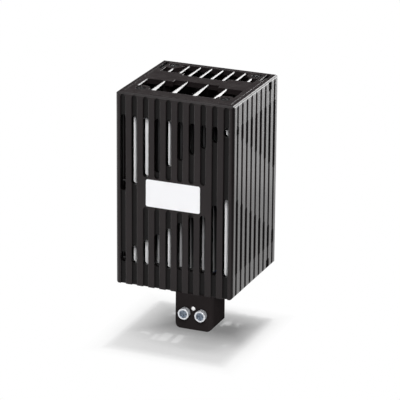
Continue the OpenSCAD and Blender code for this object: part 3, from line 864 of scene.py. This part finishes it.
@dataclass
class HeatingPack(SubAssembly):
    """Heat sink, heating stones, electrodes, film, pressure plate and leads."""

    def finishes(self) -> dict[str, Finish]:
        """Picks the finishes inside the housing.

        Returns:
            The finish of each node of the pack, by name.
        """
        return {
            "heat_sink": Palette.fins(*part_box("heat_sink")),
            "pressure_plate": Palette.aluminium,
            "ptc_stones": Palette.ceramic,
            "front_electrode": Palette.brass,
            "rear_electrode": Palette.brass,
            "insulation_film": Palette.film,
            "live_lead": Palette.brown_sleeve,
            "neutral_lead": Palette.blue_sleeve,
        }


@dataclass
class TerminalBlock(SubAssembly):
    """Block under the front wall with its clamps, screws and indicator."""

    def finishes(self) -> dict[str, Finish]:
        """Picks the finishes of the block.

        Returns:
            The finish of each of its nodes, by name.
        """
        screws = {name: Palette.plated(f"plated_{name}", *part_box(name))
                  for name in ("live_terminal_screw", "neutral_terminal_screw")}
        return screws | {
            "terminal_block": Palette.block,
            "live_clamp": Palette.brass,
            "neutral_clamp": Palette.brass,
            "indicator_lens": Palette.lens,
            "indicator_lamp": Palette.lamp,
        }


@dataclass
class RailClip(SubAssembly):
    """Spring clip on the rear panel and its screws."""

    def finishes(self) -> dict[str, Finish]:
        """Picks the finishes of the rail mount.

        Returns:
            The finish of the clip and of its screws, by name.
        """
        screws = Palette.plated("plated_clip_screws", *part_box("rail_clip_screws"))
        return {"rail_clip": Palette.spring_steel, "rail_clip_screws": screws}


def add_object(name: str, data: bpy.types.ID) -> bpy.types.Object:
    """Makes an object and links it to the scene.

    Args:
        name: the object's name.
        data: its mesh, lamp or camera.

    Returns:
        The object.
    """
    made = bpy.data.objects.new(name, data)
    bpy.context.scene.collection.objects.link(made)
    return made


@dataclass
class Lamp:
    """An area lamp that looks at a point."""

    name: str
    place: Point
    aim: Point
    size: Span
    watts: float
    lit: Optional[bpy.types.Collection] = None

    def build(self) -> None:
        """Makes the lamp, which lights everything or only the pieces in lit."""
        data = bpy.data.lights.new(self.name, "AREA")
        data.shape = "RECTANGLE"
        data.size, data.size_y = self.size
        data.energy = self.watts
        made = add_object(self.name, data)
        made.location = self.place
        away = Vector(self.place) - Vector(self.aim)
        made.rotation_euler = away.to_track_quat("Z", "Y").to_euler()
        made.visible_camera = False
        made.light_linking.receiver_collection = self.lit


@dataclass
class PhotoCamera:
    """The camera of the photograph, fitted to the corners of the housing. Angles in degrees."""

    place: Point = (0.5543, -1.3606, 0.5006)
    azimuth: float = 22.61
    elevation: float = 19.65
    roll: float = 0.44
    lens: float = 245.3
    sensor: float = 36.0
    clip_start: float = 0.01

    def build(self) -> None:
        """Makes the camera and sets it as the scene's own."""
        turn, rise, roll = (math.radians(v) for v in (self.azimuth, self.elevation, self.roll))
        back = Vector((math.sin(turn) * math.cos(rise), -math.cos(turn) * math.cos(rise),
                       math.sin(rise)))
        right = Vector((math.cos(turn), math.sin(turn), 0.0))
        up = back.cross(right)
        axes = (math.cos(roll) * right + math.sin(roll) * up,
                math.cos(roll) * up - math.sin(roll) * right, back)
        data = bpy.data.cameras.new("photo_camera")
        data.lens = self.lens
        data.sensor_width = self.sensor
        data.clip_start = self.clip_start
        made = add_object("photo_camera", data)
        place = Matrix.Translation(Vector(self.place))
        made.matrix_world = place @ Matrix(axes).transposed().to_4x4()
        bpy.context.scene.camera = made


@dataclass
class Studio:
    """Pale floor, soft lamps, world and camera.

    The floor is seen as white outside the shadow rectangle. Inside it, near_white is the share of
    white in what is seen, and a lower share on a rectangle behind the block paints a darker shadow
    there.
    """

    pieces: dict[str, bpy.types.Object]
    floor_z: float = -0.0899
    floor_half: float = 6.0
    floor_colour: Colour = (0.9, 0.9, 0.9)
    # Painted shadow: the white share on a rectangle behind the block, with its middle, half sizes
    # and fade.
    painted_shadow_white: float = 0.18
    near_white: float = 0.48
    painted_shadow_middle: Point = (0.004, -0.03, 0.0)
    painted_shadow_half: Point = (0.018, 0.004, 0.0)
    painted_shadow_fade: Span = (0.0, 0.022)
    shadow_middle: Point = (-0.001, -0.0425, 0.0)
    shadow_half: Point = (0.036, 0.0375, 0.0)
    shadow_fade: Span = (-0.004, 0.012)
    horizon: float = 1.0
    ceiling: float = 0.08
    horizon_rise: Span = (0.02, 0.12)
    heater: Point = (0.0, -0.033, 0.0)
    right_edge: Point = (0.02, -0.03, 0.15)
    above: Point = (0.0, 0.24, 3.0)
    overhead: Point = (-0.1, -0.1, 1.3)
    rear: Point = (0.245, 0.51, 0.15)
    rear_size: Span = (0.26, 0.48)
    front: Point = (0.345, -0.888, 0.72)
    front_size: Span = (0.16, 0.5)
    panel_lift: float = 0.0005
    flag_line: tuple[Span, ...] = ((0.15, 0.02), (0.15, -0.25), (0.02, -0.5))
    flag_z: Span = (-0.0895, 0.2)
    flag_colour: Colour = (0.01, 0.01, 0.01)

    def build(self) -> None:
        """Makes the whole studio."""
        self.floor()
        self.flag()
        self.world()
        for lamp in self.lamps():
            lamp.build()
        PhotoCamera().build()
        bpy.context.scene.view_settings.view_transform = "Standard"
        LOG.info("studio: floor, lamps and camera")

    def lamps(self) -> list[Lamp]:
        """The lamps of the studio. Some light only the heater or a part of it.

        Returns:
            The lamps, not yet built.
        """
        on_rail = ("rail_clip", "rail_clip_screws")
        alone = self.group("heater_alone", *(n for n in self.pieces if n not in on_rail))
        fins = self.group("fins_alone", "heat_sink")
        walls = self.group("walls_alone", "front_shell")
        covers = self.group("covers_alone", "top_cover", "rear_panel")
        return [
            Lamp("overhead_spot", self.above, self.heater, (0.035, 0.035), 18.0),
            Lamp("overhead_panel", self.above, self.heater, (0.32, 0.32), 18.0),
            Lamp("overhead_softbox", self.overhead, self.heater, (1.5, 1.5), 17.0),
            Lamp("rear_wall_softbox", self.rear, self.right_edge, self.rear_size, 4.8, walls),
            Lamp("rear_cover_softbox", self.rear, self.right_edge, self.rear_size, 7.0, covers),
            Lamp("front_softbox", self.front, self.heater, self.front_size, 7.5, alone),
            Lamp("slot_softbox", self.front, self.heater, self.front_size, 4.8, fins),
            self.panel("right_near_panel", (0.04, 0.2), (0.0, 0.2), 0.65, alone),
            self.panel("right_far_panel", (0.1, 0.36), (0.2, 0.56), 1.45, alone),
            self.panel("left_far_panel", (-0.47, -0.25), (-0.37, -0.07), 2.5, walls),
            self.panel("left_near_panel", (-0.3, -0.1), (-0.15, -0.07), 2.0, walls),
        ]

    def group(self, name: str, *pieces: str) -> bpy.types.Collection:
        """Makes a collection of pieces for lamps that light only these.

        Args:
            name: the collection's name.
            pieces: names of its pieces.

        Returns:
            The collection.
        """
        made = bpy.data.collections.new(name)
        for piece in pieces:
            made.objects.link(self.pieces[piece])
        return made

    def panel(self, name: str, x: Span, y: Span, level: float,
              lit: bpy.types.Collection) -> Lamp:
        """A light panel that lies on the floor beside the set and shines up.

        Args:
            name: the lamp's name.
            x: its ends across.
            y: its ends from front to back.
            level: its brightness, where 1 is white.
            lit: the pieces that it lights.

        Returns:
            The lamp, not yet built.
        """
        width, length = x[1] - x[0], y[1] - y[0]
        place = (sum(x) / 2, sum(y) / 2, self.floor_z + self.panel_lift)
        upward = (place[0], place[1], place[2] + 1.0)
        return Lamp(name, place, upward, (width, length), level * math.pi * width * length, lit)

    @staticmethod
    def sheet(name: str, points: list[Point], faces: list[tuple[int, ...]],
              material: bpy.types.Material) -> bpy.types.Object:
        """Makes a plain sheet of the studio.

        Args:
            name: the sheet's name.
            points: its corners.
            faces: its faces, as numbers of the corners.
            material: what it is made of.

        Returns:
            The sheet's object.
        """
        mesh = bpy.data.meshes.new(name)
        mesh.from_pydata(points, [], faces)
        mesh.materials.append(material)
        return add_object(name, mesh)

    def floor(self) -> None:
        """Makes the floor, which fades to white away from the heater and keeps its shadow."""
        half = self.floor_half
        ends = ((-half, -half), (half, -half), (half, half), (-half, half))
        corners = [(x, y, self.floor_z) for x, y in ends]
        made = self.sheet("studio_floor", corners, [(0, 1, 2, 3)], self.floor_material())

    def flag(self) -> None:
        """Makes the dark flag beside the set, which only reflections show."""
        points = [(x, y, z) for x, y in self.flag_line for z in self.flag_z]
        faces = [(i, i + 2, i + 3, i + 1) for i in range(0, len(points) - 2, 2)]
        cloth, graph = open_material("flag_cloth")
        matt = graph.node("ShaderNodeBsdfDiffuse")
        matt.inputs["Color"].default_value = (*self.flag_colour, 1.0)
        graph.show(matt.outputs["BSDF"])
        made = self.sheet("dark_flag", points, faces, cloth)
        for ray in ("camera", "diffuse", "shadow", "transmission"):
            setattr(made, f"visible_{ray}", False)

    def floor_material(self) -> bpy.types.Material:
        """Diffuse floor near the heater, plain white further out for the rays that show it, and with
        a painted shadow, less white, on a rectangle behind the block.

        Returns:
            The floor's material.
        """
        made, graph = open_material("pale_floor")
        matt = graph.node("ShaderNodeBsdfDiffuse")
        matt.inputs["Color"].default_value = (*self.floor_colour, 1.0)
        white = graph.node("ShaderNodeEmission")
        place = graph.node("ShaderNodeNewGeometry").outputs["Position"]
        # Painted shadow: less white is seen on the rectangle behind the block.
        off_painted_shadow = self.past(graph, place, self.painted_shadow_middle, self.painted_shadow_half)
        inner = graph.span(off_painted_shadow, *self.painted_shadow_fade, self.painted_shadow_white, self.near_white)
        off_shadow = self.past(graph, place, self.shadow_middle, self.shadow_half)
        outer = graph.span(off_shadow, *self.shadow_fade, 0.0, 1.0)
        rest = graph.math("MULTIPLY", graph.math("SUBTRACT", 1.0, inner), outer)
        share = graph.math("ADD", inner, rest)
        rays = graph.node("ShaderNodeLightPath").outputs
        seen = graph.math("ADD", rays["Is Camera Ray"], rays["Is Glossy Ray"])
        seen = graph.math("ADD", seen, rays["Is Transmission Ray"], clamp=True)
        mix = graph.node("ShaderNodeMixShader")
        graph.feed(mix.inputs["Fac"], graph.math("MULTIPLY", seen, share))
        graph.feed(mix.inputs[1], matt.outputs["BSDF"])
        graph.feed(mix.inputs[2], white.outputs["Emission"])
        graph.show(mix.outputs["Shader"])
        return made

    @staticmethod
    def past(graph: Graph, place: bpy.types.NodeSocket, middle: Point,
             half: Point) -> bpy.types.NodeSocket:
        """Distance of a place on the floor from the edge of a rectangle, below 0 inside.

        Args:
            graph: the floor's graph.
            place: the place.
            middle: middle of the rectangle.
            half: its half sizes.

        Returns:
            The distance's socket.
        """
        out = graph.vector("ABSOLUTE", graph.vector("SUBTRACT", place, middle))
        axes = graph.axes(graph.vector("SUBTRACT", out, half))
        return graph.math("MAXIMUM", axes["X"], axes["Y"])

    def world(self) -> None:
        """Makes a world that is white at the horizon and grey above."""
        made = bpy.data.worlds.new("studio_world")
        made.use_nodes = True
        bpy.context.scene.world = made
        graph = Graph(made.node_tree)
        axes = graph.axes(graph.node("ShaderNodeTexCoord").outputs["Generated"])
        level = graph.span(axes["Z"], *self.horizon_rise, self.horizon, self.ceiling)
        background = graph.node("ShaderNodeBackground")
        background.inputs["Color"].default_value = (1.0, 1.0, 1.0, 1.0)
        graph.feed(background.inputs["Strength"], level)
        graph.show(background.outputs["Background"], "ShaderNodeOutputWorld")


def main() -> None:
    """Builds the heater's looks and the studio, in order."""
    logging.basicConfig(level=logging.INFO, format="%(name)s: %(message)s")
    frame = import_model()
    nodes = frame["nodes"]
    assemblies: list[SubAssembly] = [
        Housing("housing", nodes),
        RatingPlate("rating plate", nodes),
        HeatingPack("heating pack", nodes),
        TerminalBlock("terminal block", nodes),
        RailClip("rail clip", nodes),
    ]
    for assembly in assemblies:
        assembly.dress()
    Studio(nodes).build()


if __name__ == "__main__":
    main()
